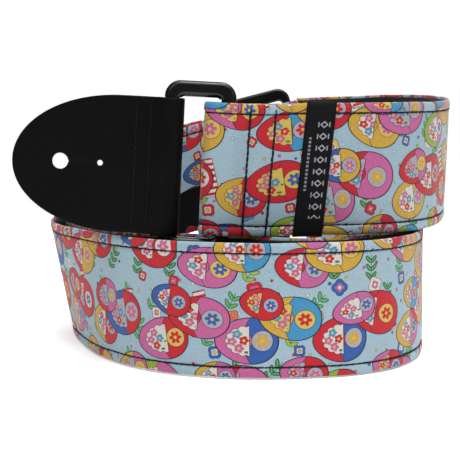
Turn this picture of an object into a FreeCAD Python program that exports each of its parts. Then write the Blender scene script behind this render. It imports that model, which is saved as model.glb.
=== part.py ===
"""Printed guitar strap with leather ends, coiled and standing on its long edge.

Millimetres, +Z up. The strap's long edge stands on z = 0 and the origin is under
the middle of the whole coil. The strap runs from leather end 1 through ring 1,
along the upper turn, through the slider, down a ramp and round the lower turn to
ring 2 and leather end 2. From ring 2 it comes back inside itself, as a second
layer, to the slider's centre bar.

The layers are ribbons: a route of straight runs and tangent arcs, seen from
above, is offset to both sides and raised to the strap's width. The printed side is
always on the right of the direction of travel.
"""

import FreeCAD
import Part

import math
import os

Vector = FreeCAD.Vector

# Strap, across its thickness and its width.
STRAP_WIDTH = 50.0
COVER_THICKNESS = 0.3
PADDING_THICKNESS = 0.6
WEBBING_THICKNESS = 1.0
HEM_WIDTH = 8.0
WEBBING_INSET = 1.5
STRAP_THICKNESS = 2 * COVER_THICKNESS + PADDING_THICKNESS + WEBBING_THICKNESS
HALF_STRAP = STRAP_THICKNESS / 2

# Sewing.
SEAM_INSET = 4.0
THREAD_WIDTH = 0.6
THREAD_HEIGHT = 0.25

# Levels of the two turns.
LOWER_LEVEL = 0.0
UPPER_LEVEL = 50.5

# Rectangular rings.
RING_WIDTH = 27.0
RING_THICKNESS = 4.4
RING_SIDE_BAR = 6.0
RING_END_BAR = 6.0
RING_OPENING = 53.0
RING_CORNER = 6.0
RING_ROUNDING = 1.9
OPENING_CORNER = 1.5
RING_HEIGHT = RING_OPENING + 2 * RING_END_BAR
RING_BAR_SPACING = RING_WIDTH - RING_SIDE_BAR
RING_BAR_RADIUS = 2.7
RING_BAR_SPAN = 52.0
BAR_SINK = 1.0

# Loops of soft material round a ring's side bar.
BAR_ROUND = 3.3
LOOP_RADIUS = BAR_ROUND + HALF_STRAP
LOOP_SLACK = 2.2
FOLD_SLACK = 3.5
LAYER_PITCH = STRAP_THICKNESS + 0.1

# Leather ends.
LEATHER_WIDTH = 51.6
LEATHER_THICKNESS = 2.2
LEATHER_REACH = 59.0
TIP_LENGTH = 40.0
FLAP_LENGTH = 18.0
BUTTON_HOLE_RADIUS = 3.0
BUTTON_HOLE_FROM_TIP = 18.0
RELIEF_HOLE_RADIUS = 1.1
RELIEF_HOLE_FROM_TIP = 33.0
SLIT_WIDTH = 0.5
TAB_ROWS = (7.7, 13.0)
TAB_ROW_INSET = 2.5
FLARE = 0.6
FLARE_START = 17.0
FLARE_END = 6.0
CUT_DEPTH = 40.0

# Ring positions: the axis of the bar that the strap goes round, and the tilt.
RING_1_BAR = Vector(-1.9, 22.0, UPPER_LEVEL + STRAP_WIDTH / 2)
RING_1_TILT = 3.0
RING_2_BAR = Vector(44.0, 166.0, 32.8)
RING_2_TILT = 3.5

# Slider.
SLIDER_WIDTH = 30.0
SLIDER_SIDE_BAR = 4.0
SLIDER_THICKNESS = 3.0
SLIDER_OPENING_CORNER = 2.0
SLIDER_ROUNDING = SLIDER_THICKNESS / 2 - 0.2
LUG_WIDTH = 7.0
CENTRE_BAR_RADIUS = 1.5
CENTRE_BAR_SET_BACK = 2.4
SLIDER_GAP = 0.3
SLIDER_SLOPE = 14.5
REAR_LINE = 185.0
SLIDER_AT = Vector(21.0, REAR_LINE, 70.1)
SLIDER_STRETCH = 18.0
END_LOOP_RADIUS = CENTRE_BAR_RADIUS + SLIDER_GAP + HALF_STRAP
END_FLAP_LENGTH = 26.0
FLAP_LINE = -2.85
RETURN_LINE = -5.25

# Label sewn across the upper turn.
LABEL_WIDTH = 11.0
LABEL_THICKNESS = 0.3
LABEL_MIDDLE = 31.7
LABEL_LEAN = 5.4

# Sewn rows of the fold at ring 1, measured from the bar.
FOLD_ROWS = (8.3, 17.1)
FOLD_ROW_INSET = 5.0
FOLD_FLAP_END = 20.0

# Moves the whole coil so that the origin is under its middle.
COIL_MIDDLE = Vector(4.86, 95.34, 0)


def rounded(points):
    """Straight runs and tangent arcs along a list of (x, y) or (x, y, radius)."""
    plan = [Vector(p[0], p[1], 0) for p in points]
    runs = [b - a for a, b in zip(plan, plan[1:])]
    pieces = []
    start = plan[0]
    for i in range(1, len(plan) - 1):
        before, after = runs[i - 1], runs[i]
        turn = before.getAngle(after)
        left = before.cross(after).z > 0
        if turn < 1e-4:
            continue
        if len(points[i]) > 2:
            radius = points[i][2]
        else:
            radius = 0.45 * min(before.Length, after.Length) / math.tan(turn / 2)
        reach = radius * math.tan(turn / 2)
        ahead = Vector(before).normalize()
        away = Vector(after).normalize()
        first = plan[i] - ahead * reach
        last = plan[i] + away * reach
        side = Vector(-ahead.y, ahead.x, 0) * (1 if left else -1)
        pieces.append(("run", start, first))
        pieces.append(("arc", first, last, first + side * radius, radius, left))
        start = last
    pieces.append(("run", start, plan[-1]))
    return pieces


def offset_edges(pieces, distance):
    """The route moved to the right of its direction of travel by a distance."""
    edges = []
    for piece in pieces:
        first, last = piece[1], piece[2]
        if piece[0] == "run":
            if (last - first).Length < 1e-3:
                continue
            along = (last - first).normalize()
            aside = Vector(along.y, -along.x, 0) * distance
            edges.append(Part.LineSegment(first + aside, last + aside).toShape())
            continue
        centre, radius, left = piece[3:]
        scale = (radius + (distance if left else -distance)) / radius
        a = centre + (first - centre) * scale
        b = centre + (last - centre) * scale
        bow = (first - centre) + (last - centre)
        middle = centre + bow.normalize() * radius * scale
        edges.append(Part.Arc(a, middle, b).toShape())
    return edges


def ribbon(points, near, far, low, high):
    """An upright ribbon between two offsets of a route and between two levels."""
    pieces = rounded(points)
    one = offset_edges(pieces, near)
    other = offset_edges(pieces, far)
    start = Part.LineSegment(other[0].Vertexes[0].Point, one[0].Vertexes[0].Point).toShape()
    end = Part.LineSegment(one[-1].Vertexes[-1].Point, other[-1].Vertexes[-1].Point).toShape()
    outline = Part.Wire(Part.__sortEdges__(one + [end] + other + [start]))
    face = Part.Face(outline)
    face.translate(Vector(0, 0, low))
    return face.extrude(Vector(0, 0, high - low))


def level_band(points, level):
    """A maker of ribbons on one level: heights count from the strap's lower edge."""

    def make(near, far, low, high):
        return ribbon(points, near, far, level + low, level + high)

    return make


def sloped_band(points, origin, heading, lower, upper):
    """A maker of ribbons whose edges follow two rising lines.

    The lines are lists of (distance, height) from the origin along a heading, one
    for the strap's lower edge and one for its upper edge.
    """
    along = Vector(math.cos(heading), math.sin(heading), 0)
    across = Vector(-along.y, along.x, 0)
    half_depth = 300.0
    floor, ceiling = -100.0, 250.0

    def make(near, far, low, high):
        tall = ribbon(points, near, far, floor, ceiling)
        drop = STRAP_WIDTH - high
        bottom = [(c, z + low) for c, z in lower]
        top = [(c, z - drop) for c, z in upper]
        if low > STRAP_WIDTH / 2:
            bottom = [(c, z - STRAP_WIDTH + low) for c, z in upper]
        if high < STRAP_WIDTH / 2:
            top = [(c, z + high) for c, z in lower]
        corners = [origin + along * c + Vector(0, 0, z) for c, z in bottom + top[::-1]]
        side = Part.Face(Part.makePolygon(corners + corners[:1]))
        side.translate(across * -half_depth)
        return tall.common(side.extrude(across * 2 * half_depth)).Solids[0]

    return make


def placed_band(points, placement):
    """A maker of ribbons in a tilted frame whose origin is on the strap's centre line."""

    def make(near, far, low, high):
        half = STRAP_WIDTH / 2
        shape = ribbon(points, near, far, low - half, high - half)
        shape.Placement = placement.multiply(shape.Placement)
        return shape

    return make


def trimmed(make, placement, sign):
    """A maker whose ribbons end at the tilted stretch through the slider."""
    length, depth, height = 60.0, 40.0, 200.0
    block = Part.makeBox(length, depth, height, Vector(0, -depth / 2, -height / 2))
    if sign > 0:
        block.translate(Vector(-length, 0, 0))
    block.translate(Vector(sign * SLIDER_STRETCH, 0, 0))
    block.Placement = placement.multiply(block.Placement)

    def cut_make(near, far, low, high):
        pieces = make(near, far, low, high).cut(block).Solids
        return max(pieces, key=lambda piece: piece.Volume)

    return cut_make


def strap_layers(make):
    """Cover with turned hems, padding, webbing and edge seams of one stretch."""
    face = HALF_STRAP
    fill = face - COVER_THICKNESS
    hem = fill - PADDING_THICKNESS
    back = hem - COVER_THICKNESS
    cover = make(back, face, 0, STRAP_WIDTH)
    cover = cover.cut(make(hem, fill, COVER_THICKNESS, STRAP_WIDTH - COVER_THICKNESS))
    cover = cover.cut(make(back, hem, HEM_WIDTH, STRAP_WIDTH - HEM_WIDTH))
    padding = make(hem, fill, COVER_THICKNESS, STRAP_WIDTH - COVER_THICKNESS)
    webbing = make(-face, back, WEBBING_INSET, STRAP_WIDTH - WEBBING_INSET)
    seams = []
    for height in (SEAM_INSET, STRAP_WIDTH - SEAM_INSET):
        low = height - THREAD_WIDTH / 2
        seams.append(make(face, face + THREAD_HEIGHT, low, low + THREAD_WIDTH))
    return {"cover": cover, "padding": padding, "webbing": webbing, "edge_seams": Part.Compound(seams)}


def tilted(origin, tilt):
    """A frame at an origin whose x axis drops to the right by an angle."""
    return FreeCAD.Placement(origin, FreeCAD.Rotation(Vector(0, 1, 0), tilt))


def moved(shape, placement):
    copy = shape.copy()
    copy.Placement = placement.multiply(copy.Placement)
    return copy


def plate_outline(width, height, corner):
    """A rounded rectangle in the XZ plane, centred on the origin."""
    x, z = width / 2, height / 2
    k = corner * (1 - math.sqrt(0.5))
    corners = [(x, z, 1, 1), (-x, z, -1, 1), (-x, -z, -1, -1), (x, -z, 1, -1)]
    arcs = []
    for cx, cz, sx, sz in corners:
        upright_end = Vector(cx, 0, cz - sz * corner)
        level_end = Vector(cx - sx * corner, 0, cz)
        middle = Vector(cx - sx * k, 0, cz - sz * k)
        arc = (upright_end, middle, level_end)
        arcs.append(arc if sx * sz > 0 else arc[::-1])
    edges = []
    for i, (a, m, b) in enumerate(arcs):
        edges.append(Part.Arc(a, m, b).toShape())
        edges.append(Part.LineSegment(b, arcs[(i + 1) % 4][0]).toShape())
    return Part.Face(Part.Wire(edges))


def plate(width, height, corner, thickness):
    face = plate_outline(width, height, corner)
    face.translate(Vector(0, -thickness / 2, 0))
    return face.extrude(Vector(0, thickness, 0))


def ring():
    """A rectangular ring, with the origin on the axis of its right-hand side bar."""
    frame = plate(RING_WIDTH, RING_HEIGHT, RING_CORNER, RING_THICKNESS)
    opening = plate(RING_WIDTH - 2 * RING_SIDE_BAR, RING_OPENING, OPENING_CORNER, RING_THICKNESS * 2)
    frame = frame.cut(opening)
    rims = [e for e in frame.Edges if abs(abs(e.CenterOfMass.y) - RING_THICKNESS / 2) < 1e-4]
    frame = frame.makeFillet(RING_ROUNDING, rims)
    span = Part.makeBox(RING_WIDTH + 2, 2 * RING_THICKNESS, RING_BAR_SPAN)
    span.translate(Vector(-RING_WIDTH / 2 - 1, -RING_THICKNESS, -RING_BAR_SPAN / 2))
    frame = frame.cut(span)
    for side in (-1, 1):
        foot = Vector(side * RING_BAR_SPACING / 2, 0, -RING_BAR_SPAN / 2 - BAR_SINK)
        frame = frame.fuse(Part.makeCylinder(RING_BAR_RADIUS, RING_BAR_SPAN + 2 * BAR_SINK, foot))
    frame.translate(Vector(-RING_BAR_SPACING / 2, 0, 0))
    return frame


def slider():
    """A slider with two windows; its centre bar sits behind the frame's plane."""
    frame = plate(SLIDER_WIDTH, RING_HEIGHT, RING_CORNER, SLIDER_THICKNESS)
    opening_width = SLIDER_WIDTH - 2 * SLIDER_SIDE_BAR
    opening = plate(opening_width, RING_OPENING, SLIDER_OPENING_CORNER, SLIDER_THICKNESS * 2)
    frame = frame.cut(opening)
    half = SLIDER_THICKNESS / 2
    rims = [e for e in frame.Edges if abs(abs(e.CenterOfMass.y) - half) < 1e-4]
    frame = frame.makeFillet(SLIDER_ROUNDING, rims)
    back = -CENTRE_BAR_SET_BACK - CENTRE_BAR_RADIUS
    lug_height = RING_END_BAR - BAR_SINK
    for foot in (RING_OPENING / 2, -RING_OPENING / 2 - lug_height):
        corner = Vector(-LUG_WIDTH / 2, back, foot)
        lug = Part.makeBox(LUG_WIDTH, -back, lug_height, corner)
        frame = frame.fuse(lug)
    bar = Part.makeCylinder(
        CENTRE_BAR_RADIUS,
        RING_OPENING + 2 * BAR_SINK,
        Vector(0, -CENTRE_BAR_SET_BACK, -RING_OPENING / 2 - BAR_SINK),
    )
    return frame.fuse(bar).removeSplitter()


def leather_end():
    """A leather end folded round the left-hand side bar of a ring.

    The origin is on that bar's axis and the tip points along -X. The front layer
    carries the holes and the back flap is sewn to it.
    """
    half = LEATHER_WIDTH / 2
    inner, outer = BAR_ROUND, BAR_ROUND + LEATHER_THICKNESS
    middle = (inner + outer) / 2
    gap = LEATHER_THICKNESS / 2 + 0.05
    reach = -LEATHER_REACH
    shoulder = reach + TIP_LENGTH
    fold = ribbon(
        [(reach, -gap), (-FLARE_START, -gap), (-FLARE_END, -gap - FLARE, 12), (-1.5, -middle, 5),
         (middle, -middle, middle), (middle, middle, middle), (-1.5, middle, 5),
         (-FLARE_END, gap + FLARE, 12), (-13.0, gap), (-FLAP_LENGTH, gap)],
        -LEATHER_THICKNESS / 2, LEATHER_THICKNESS / 2, -half, half,
    )
    tip = Part.Ellipse(Vector(shoulder, 0, 0), TIP_LENGTH, half)
    upright = FreeCAD.Rotation(Vector(1, 0, 0), 90)
    tip.rotate(FreeCAD.Placement(Vector(0, 0, 0), upright, Vector(shoulder, 0, 0)))
    curve = tip.toShape(math.pi / 2, 3 * math.pi / 2)
    ends = [v.Point for v in curve.Vertexes]
    far = middle + outer
    corners = [ends[1], Vector(far, 0, ends[1].z), Vector(far, 0, ends[0].z), ends[0]]
    edges = [curve] + [Part.LineSegment(a, b).toShape() for a, b in zip(corners, corners[1:])]
    outline = Part.Face(Part.Wire(Part.__sortEdges__(edges)))
    outline.translate(Vector(0, -CUT_DEPTH / 2, 0))
    leather = fold.common(outline.extrude(Vector(0, CUT_DEPTH, 0)))
    hole_at = reach + BUTTON_HOLE_FROM_TIP
    relief_at = reach + RELIEF_HOLE_FROM_TIP
    for x, radius in ((hole_at, BUTTON_HOLE_RADIUS), (relief_at, RELIEF_HOLE_RADIUS)):
        foot = Vector(x, -CUT_DEPTH / 2, 0)
        leather = leather.cut(Part.makeCylinder(radius, CUT_DEPTH, foot, Vector(0, 1, 0)))
    corner = Vector(hole_at, -CUT_DEPTH / 2, -SLIT_WIDTH / 2)
    slit = Part.makeBox(relief_at - hole_at, CUT_DEPTH, SLIT_WIDTH, corner)
    return leather.cut(slit).Solids[0]


def leather_row(distance):
    """A row of sewing across the leather, this far from the bar."""
    length = LEATHER_WIDTH - 2 * TAB_ROW_INSET
    front = LEATHER_THICKNESS + 0.07 + FLARE * (FLARE_START - distance) / (FLARE_START - FLARE_END)
    corner = Vector(-distance - THREAD_WIDTH / 2, -front - FLARE / 4 - THREAD_HEIGHT, -length / 2)
    return Part.makeBox(THREAD_WIDTH, THREAD_HEIGHT, length, corner)


def mid(a, b):
    return ((a[0] + b[0]) / 2, (a[1] + b[1]) / 2)


# Routes of the strap's centre line seen from above, in the direction of travel.
bar_x, bar_y = RING_1_BAR.x, RING_1_BAR.y
fold_left = bar_x - FOLD_SLACK - LOOP_RADIUS
front_line = bar_y - LAYER_PITCH / 2
back_line = bar_y + LAYER_PITCH / 2
upper_route = [
    (bar_x + FOLD_FLAP_END, back_line), (4.8, back_line, 3), (0.2, bar_y + LOOP_RADIUS, 3),
    (fold_left, bar_y + LOOP_RADIUS, LOOP_RADIUS), (fold_left, bar_y - LOOP_RADIUS, LOOP_RADIUS),
    (0.2, bar_y - LOOP_RADIUS, 3), (4.8, front_line, 3), (43, front_line), (63, 29), (78, 46),
    (87, 72), (91, 98), (87, 130), (75, 158), (59, 178), (46, REAR_LINE), (29, REAR_LINE),
]
slider_end = SLIDER_STRETCH
weave = HALF_STRAP + SLIDER_GAP + SLIDER_THICKNESS / 2
bar_line = weave - CENTRE_BAR_SET_BACK
over = bar_line + END_LOOP_RADIUS + LAYER_PITCH + 0.3
woven_route = [
    (slider_end, 0), (10.2, 0, 5), (2.6, over, 5), (-2.6, over, 5), (-10.2, 0, 5), (-slider_end, 0),
]
end_route = [
    (-slider_end, RETURN_LINE), (-9.5, RETURN_LINE, 8), (-1.0, bar_line - END_LOOP_RADIUS, 5),
    (END_LOOP_RADIUS, bar_line - END_LOOP_RADIUS, END_LOOP_RADIUS),
    (END_LOOP_RADIUS, bar_line + END_LOOP_RADIUS, END_LOOP_RADIUS),
    (-1.6, bar_line + END_LOOP_RADIUS, 3.5), (-9.6, FLAP_LINE, 4), (-END_FLAP_LENGTH, FLAP_LINE),
]
ramp_points = [(-24, REAR_LINE), (-45, 177), (-61, 158), (-71.5, 134), (-75.5, 110)]
lower_points = [
    (-73, 88), (-64, 64), (-53, 42), (-37, 20), (-18, 6), (3, -0.5), (26, 0.5), (46, 6),
    (62, 18), (73, 37), (78.5, 61), (80, 87),
]
rear_points = [(78, 112), (71, 137), (63, 155), (54, 167)]
return_rear_points = [(53, 160), (59.5, 148), (65.5, 131), (70.5, 110)]
return_points = [
    (72.5, 86), (69.5, 61), (62, 40), (50, 25), (36, 18), (22, 17), (11, 21.5), (0, 29.5),
    (-13, 32), (-31, 33), (-45, 43), (-56, 61), (-64, 83),
]
return_ramp_points = [(-69, 106), (-68, 128), (-58, 151), (-42, 170), (-23, REAR_LINE + RETURN_LINE)]
loop_x, loop_y = RING_2_BAR.x - LOOP_RADIUS - LOOP_SLACK, RING_2_BAR.y
slider_left = SLIDER_AT.x - 8.0
ramp_route = (
    [(slider_left, REAR_LINE)] + ramp_points + [mid(ramp_points[-1], lower_points[0])]
)
lower_route = [ramp_route[-1]] + lower_points + [mid(lower_points[-1], rear_points[0])]
rear_route = (
    [lower_route[-1]] + rear_points
    + [(RING_2_BAR.x + 3, loop_y + LOOP_RADIUS),
       (loop_x, loop_y + LOOP_RADIUS, LOOP_RADIUS), (loop_x, loop_y - LOOP_RADIUS, LOOP_RADIUS),
       (RING_2_BAR.x + 3, loop_y - LOOP_RADIUS)]
    + return_rear_points + [mid(return_rear_points[-1], return_points[0])]
)
return_route = [rear_route[-1]] + return_points + [mid(return_points[-1], return_ramp_points[0])]
return_ramp_route = (
    [return_route[-1]] + return_ramp_points + [(slider_left, REAR_LINE + RETURN_LINE)]
)

# The ramp's edges, as heights against the distance from the slider towards the left.
RAMP_TURN = math.radians(48.0)
RAMP_HEADING = math.pi + RAMP_TURN
RAMP_FROM = Vector(2.0, REAR_LINE, 0)
slope_per_distance = math.tan(math.radians(SLIDER_SLOPE)) / math.cos(RAMP_TURN)
tall = STRAP_WIDTH / math.cos(math.radians(SLIDER_SLOPE))
slider_distance = (RAMP_FROM.x - SLIDER_AT.x) * math.cos(RAMP_TURN)


def ramp_height(distance):
    return SLIDER_AT.z - tall / 2 - (distance - slider_distance) * slope_per_distance


ramp_lower = [
    (-60, ramp_height(-60)), (0, ramp_height(0)), (14, 36.1), (88, 2.6), (98, 0.6), (110, 0), (160, 0),
]
ramp_upper = [
    (-60, ramp_height(-60) + tall), (0, ramp_height(0) + tall), (14, 36.1 + tall), (90, 53.0),
    (100, 50.8), (112, 50), (160, 50),
]

# The rise towards ring 2, whose bottom bar stands on the floor.
REAR_HEADING = math.radians(127.4)
REAR_FROM = Vector(77, 115, 0)
rear_rise = RING_2_BAR.z - STRAP_WIDTH / 2
rear_lower = [(-200, 0), (-6, 0), (6, 0.7), (48, rear_rise - 0.7), (58, rear_rise), (160, rear_rise)]
rear_upper = [(c, z + STRAP_WIDTH) for c, z in rear_lower]

slider_frame = tilted(SLIDER_AT, -SLIDER_SLOPE)
ring_1_frame = tilted(RING_1_BAR, RING_1_TILT)
ring_2_frame = tilted(RING_2_BAR, RING_2_TILT)
tab_shift = FreeCAD.Placement(Vector(-RING_BAR_SPACING, 0, 0), FreeCAD.Rotation())

stretches = {
    "upper_turn": trimmed(level_band(upper_route, UPPER_LEVEL), slider_frame, 1),
    "slider_weave": placed_band(woven_route, slider_frame),
    "ramp_outer": trimmed(
        sloped_band(ramp_route, RAMP_FROM, RAMP_HEADING, ramp_lower, ramp_upper), slider_frame, -1
    ),
    "lower_outer": level_band(lower_route, LOWER_LEVEL),
    "ring_2_loop": sloped_band(rear_route, REAR_FROM, REAR_HEADING, rear_lower, rear_upper),
    "lower_return": level_band(return_route, LOWER_LEVEL),
    "ramp_return": trimmed(
        sloped_band(return_ramp_route, RAMP_FROM, RAMP_HEADING, ramp_lower, ramp_upper),
        slider_frame, -1
    ),
    "slider_end_loop": placed_band(end_route, slider_frame),
}

nodes = {}
for stretch, make in stretches.items():
    for layer, shape in strap_layers(make).items():
        nodes[stretch + "_" + layer] = shape

nodes["ring_1"] = moved(ring(), ring_1_frame)
nodes["ring_2"] = moved(ring(), ring_2_frame)
plane = FreeCAD.Placement(Vector(0, weave, 0), FreeCAD.Rotation())
nodes["slider"] = moved(slider(), slider_frame.multiply(plane))
for number, frame in ((1, ring_1_frame), (2, ring_2_frame)):
    at = frame.multiply(tab_shift)
    nodes["leather_end_%d" % number] = moved(leather_end(), at)
    nodes["leather_end_%d_inner_stitches" % number] = moved(leather_row(TAB_ROWS[0]), at)
    nodes["leather_end_%d_outer_stitches" % number] = moved(leather_row(TAB_ROWS[1]), at)

# The label follows the straight front run of the upper turn.
label_front = front_line - HALF_STRAP - LABEL_THICKNESS
low_x = LABEL_MIDDLE - LABEL_LEAN / 2 - LABEL_WIDTH / 2
high_x = low_x + LABEL_LEAN
label_corners = [
    Vector(low_x, 0, UPPER_LEVEL), Vector(low_x + LABEL_WIDTH, 0, UPPER_LEVEL),
    Vector(high_x + LABEL_WIDTH, 0, UPPER_LEVEL + STRAP_WIDTH),
    Vector(high_x, 0, UPPER_LEVEL + STRAP_WIDTH),
]
label_face = Part.Face(Part.makePolygon(label_corners + label_corners[:1]))
label_face.translate(Vector(0, label_front - THREAD_HEIGHT, 0))
nodes["label"] = label_face.extrude(Vector(0, LABEL_THICKNESS, 0))

for name, distance in zip(("fold_inner_stitches", "fold_outer_stitches"), FOLD_ROWS):
    x = bar_x + distance
    front = front_line - HALF_STRAP - THREAD_HEIGHT
    thread = Vector(x - THREAD_WIDTH / 2, front, UPPER_LEVEL + FOLD_ROW_INSET)
    nodes[name] = Part.makeBox(THREAD_WIDTH, THREAD_HEIGHT, STRAP_WIDTH - 2 * FOLD_ROW_INSET, thread)

os.makedirs("parts", exist_ok=True)
for name, shape in nodes.items():
    shape = shape.copy()
    shape.translate(COIL_MIDDLE * -1)
    shape.exportStep("parts/" + name + ".step")
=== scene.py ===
"""Looks of the coiled guitar strap: cloth, webbing, sewing, leather, plastic, light and camera.

Lengths are written in millimetres and turned into metres when a mesh is made.
The strap is rebuilt as soft bands along the same routes as the CAD ribbons.
"""

import math

import bmesh
import bpy
import numpy as np
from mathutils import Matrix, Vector
from mathutils.bvhtree import BVHTree


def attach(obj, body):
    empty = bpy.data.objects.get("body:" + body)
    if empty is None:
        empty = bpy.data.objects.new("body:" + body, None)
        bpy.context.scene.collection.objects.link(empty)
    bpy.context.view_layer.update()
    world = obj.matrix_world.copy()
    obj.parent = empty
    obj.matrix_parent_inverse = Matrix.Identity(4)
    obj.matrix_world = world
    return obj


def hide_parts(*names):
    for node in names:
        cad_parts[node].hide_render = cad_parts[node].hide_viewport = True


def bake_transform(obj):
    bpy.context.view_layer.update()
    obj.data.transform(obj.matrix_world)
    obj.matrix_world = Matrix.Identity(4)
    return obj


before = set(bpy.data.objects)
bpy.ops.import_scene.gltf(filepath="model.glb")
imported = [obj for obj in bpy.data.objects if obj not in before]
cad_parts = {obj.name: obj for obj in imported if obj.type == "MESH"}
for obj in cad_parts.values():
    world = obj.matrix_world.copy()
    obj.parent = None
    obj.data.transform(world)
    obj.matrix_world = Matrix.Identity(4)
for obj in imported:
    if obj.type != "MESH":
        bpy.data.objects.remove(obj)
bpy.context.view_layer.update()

MM = 0.001

# Strap section, from the CAD model.
WIDTH = 50.0
FACE = 1.1
BACK = -0.1
WEBBING_BACK = -1.1
WEBBING_INSET = 1.2
SEAM_INSET = 4.0
STEP = 1.2

# Placing of the CAD model's routes in the row frame.
MIDDLE = np.array([4.86, 95.34, 0.0])
UPPER_LEVEL = 50.5
RING_1_BAR = np.array([-1.9, 22.0])
RING_2_BAR = np.array([44.0, 166.0, 32.8])
REAR_LINE = 185.0
SLIDER_AT = np.array([21.0, REAR_LINE, 70.1])
SLIDER_SLOPE = math.radians(14.5)
LOOP_RADIUS = 4.4
LAYER_PITCH = 2.3
FLAP_LINE = -2.85
RETURN_LINE = -5.25

# How the soft strap stands, beyond the CAD model's upright ribbons.
LEAN = math.radians(11.7)
LEAN_PIVOT = 39.0
LEAN_CENTRE, LEAN_SPREAD = 100, 55
FOLD_LEAN = math.radians(3.0)
TILT_REACH = 26.0
RIGHT_END_LINE = 95
UPPER_RIGHT_LEAN = math.radians(2.6)
UPPER_RIGHT_SHIFT = 0.5
UPPER_REAR_RISE = 1.3
OUTER_RIGHT_SHIFT = 1.7
SINK_DEPTH = 0.4


# Routes of the strap's centre line, as in the CAD model.
bar_x, bar_y = RING_1_BAR
fold_left = bar_x - 3.5 - LOOP_RADIUS
front_line = bar_y - LAYER_PITCH / 2
back_line = bar_y + LAYER_PITCH / 2
upper_route = [
    (bar_x + 20, back_line), (4.8, back_line, 3), (0.2, bar_y + LOOP_RADIUS, 3),
    (fold_left, bar_y + LOOP_RADIUS, LOOP_RADIUS), (fold_left, bar_y - LOOP_RADIUS, LOOP_RADIUS),
    (0.2, bar_y - LOOP_RADIUS, 3), (4.8, front_line, 3), (43, front_line), (63, 29), (78, 46),
    (87, 72), (91, 98), (87, 130), (75, 158), (59, 178), (46, REAR_LINE), (38.43, REAR_LINE),
]
woven_route = [(18, 0), (10.2, 0, 5), (2.6, 6.0, 5), (-2.6, 6.0, 5), (-10.2, 0, 5), (-18, 0)]
end_route = [
    (-18, RETURN_LINE), (-9.5, RETURN_LINE, 8), (-1.0, -2.4, 5), (2.9, -2.4, 2.9), (2.9, 3.4, 2.9),
    (-1.6, 3.4, 3.5), (-9.6, FLAP_LINE, 4), (-26, FLAP_LINE),
]
ramp_points = [(-24, REAR_LINE), (-45, 177), (-61, 158), (-71.5, 134), (-75.5, 110)]
lower_points = [
    (-73, 88), (-64, 64), (-53, 42), (-37, 20), (-18, 6), (3, -0.5), (26, 0.5), (46, 6),
    (62, 18), (73, 37), (78.5, 61), (80, 87),
]
rear_points = [(78, 112), (71, 137), (63, 155), (54, 167)]
return_rear_points = [(53, 160), (59.5, 148), (65.5, 131), (70.5, 110)]
return_points = [
    (72.5, 86), (69.5, 61), (62, 40), (50, 25), (36, 18), (22, 17), (11, 21.5), (0, 29.5),
    (-13, 32), (-31, 33), (-45, 43), (-56, 61), (-64, 83),
]
return_ramp_points = [(-69, 106), (-68, 128), (-58, 151), (-42, 170), (-23, REAR_LINE + RETURN_LINE)]
loop_x, loop_y = RING_2_BAR[0] - LOOP_RADIUS - 2.2, RING_2_BAR[1]
outer_route = (
    [(3.57, REAR_LINE)] + ramp_points + lower_points + rear_points
    + [(RING_2_BAR[0] + 3, loop_y + LOOP_RADIUS), (loop_x, loop_y + LOOP_RADIUS, LOOP_RADIUS),
       (loop_x, loop_y)]
)
return_route = (
    [(loop_x, loop_y), (loop_x, loop_y - LOOP_RADIUS, LOOP_RADIUS),
     (RING_2_BAR[0] + 3, loop_y - LOOP_RADIUS)]
    + return_rear_points + return_points + return_ramp_points + [(3.57, REAR_LINE + RETURN_LINE)]
)

# The ramp from the slider down to the floor, and the rise to ring 2.
RAMP_FROM = np.array([2.0, REAR_LINE])
RAMP_TURN = math.radians(48.0)
RAMP_SLOPE = math.tan(SLIDER_SLOPE) / math.cos(RAMP_TURN)
TALL = WIDTH / math.cos(SLIDER_SLOPE)
STRAIGHT_UNTIL = -6
RAMP_SIDE = 8
RAMP_LENGTH = 260
REAR_RISE_FROM = np.array([77.0, 115.0])
REAR_RISE_HEADING = math.radians(127.4)
REAR_RISE_LENGTH = 54
RETURN_RISE_LENGTH = 200
FAR = 400


ARC_PARTS = 24
FREE_CORNER = 0.45


def walk(points, step=STEP):
    """Points and headings at even steps along straight runs joined by tangent arcs."""
    plan = [np.array(p[:2], float) for p in points]
    line = [plan[0]]
    for i in range(1, len(plan) - 1):
        before, after = plan[i] - plan[i - 1], plan[i + 1] - plan[i]
        la, lb = np.linalg.norm(before), np.linalg.norm(after)
        a, b = before / la, after / lb
        cross = a[0] * b[1] - a[1] * b[0]
        turn = math.atan2(abs(cross), a @ b)
        if turn < 1e-4:
            continue
        radius = points[i][2] if len(points[i]) > 2 else FREE_CORNER * min(la, lb) / math.tan(turn / 2)
        reach = radius * math.tan(turn / 2)
        side = np.array([-a[1], a[0]]) * math.copysign(1, cross)
        first = plan[i] - a * reach
        centre = first + side * radius
        for k in range(ARC_PARTS + 1):
            swept = turn * k / ARC_PARTS
            spoke = -side * math.cos(swept) + a * math.sin(swept)
            line.append(centre + spoke * radius)
    line.append(plan[-1])
    line = np.array(line)
    keep = np.r_[True, np.linalg.norm(np.diff(line, axis=0), axis=1) > 1e-6]
    line = line[keep]
    far = np.r_[0, np.cumsum(np.linalg.norm(np.diff(line, axis=0), axis=1))]
    count = max(2, round(far[-1] / step) + 1)
    at = np.linspace(0, far[-1], count)
    spots = np.stack([np.interp(at, far, line[:, k]) for k in range(2)], 1)
    return at, spots, headings(spots)


def headings(spots):
    along = np.gradient(spots, axis=0)
    return along / np.linalg.norm(along, axis=1)[:, None]


def smooth_step(x, low, high):
    t = np.clip((x - low) / (high - low), 0, 1)
    return t * t * (3 - 2 * t)


def eased(x, knots):
    """A line through knots, rounded by averaging it over a short span."""
    xs, ys = zip(*knots)
    spans = np.linspace(-9, 9, 13)
    return np.mean([np.interp(x + d, xs, ys) for d in spans], axis=0)


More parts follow.
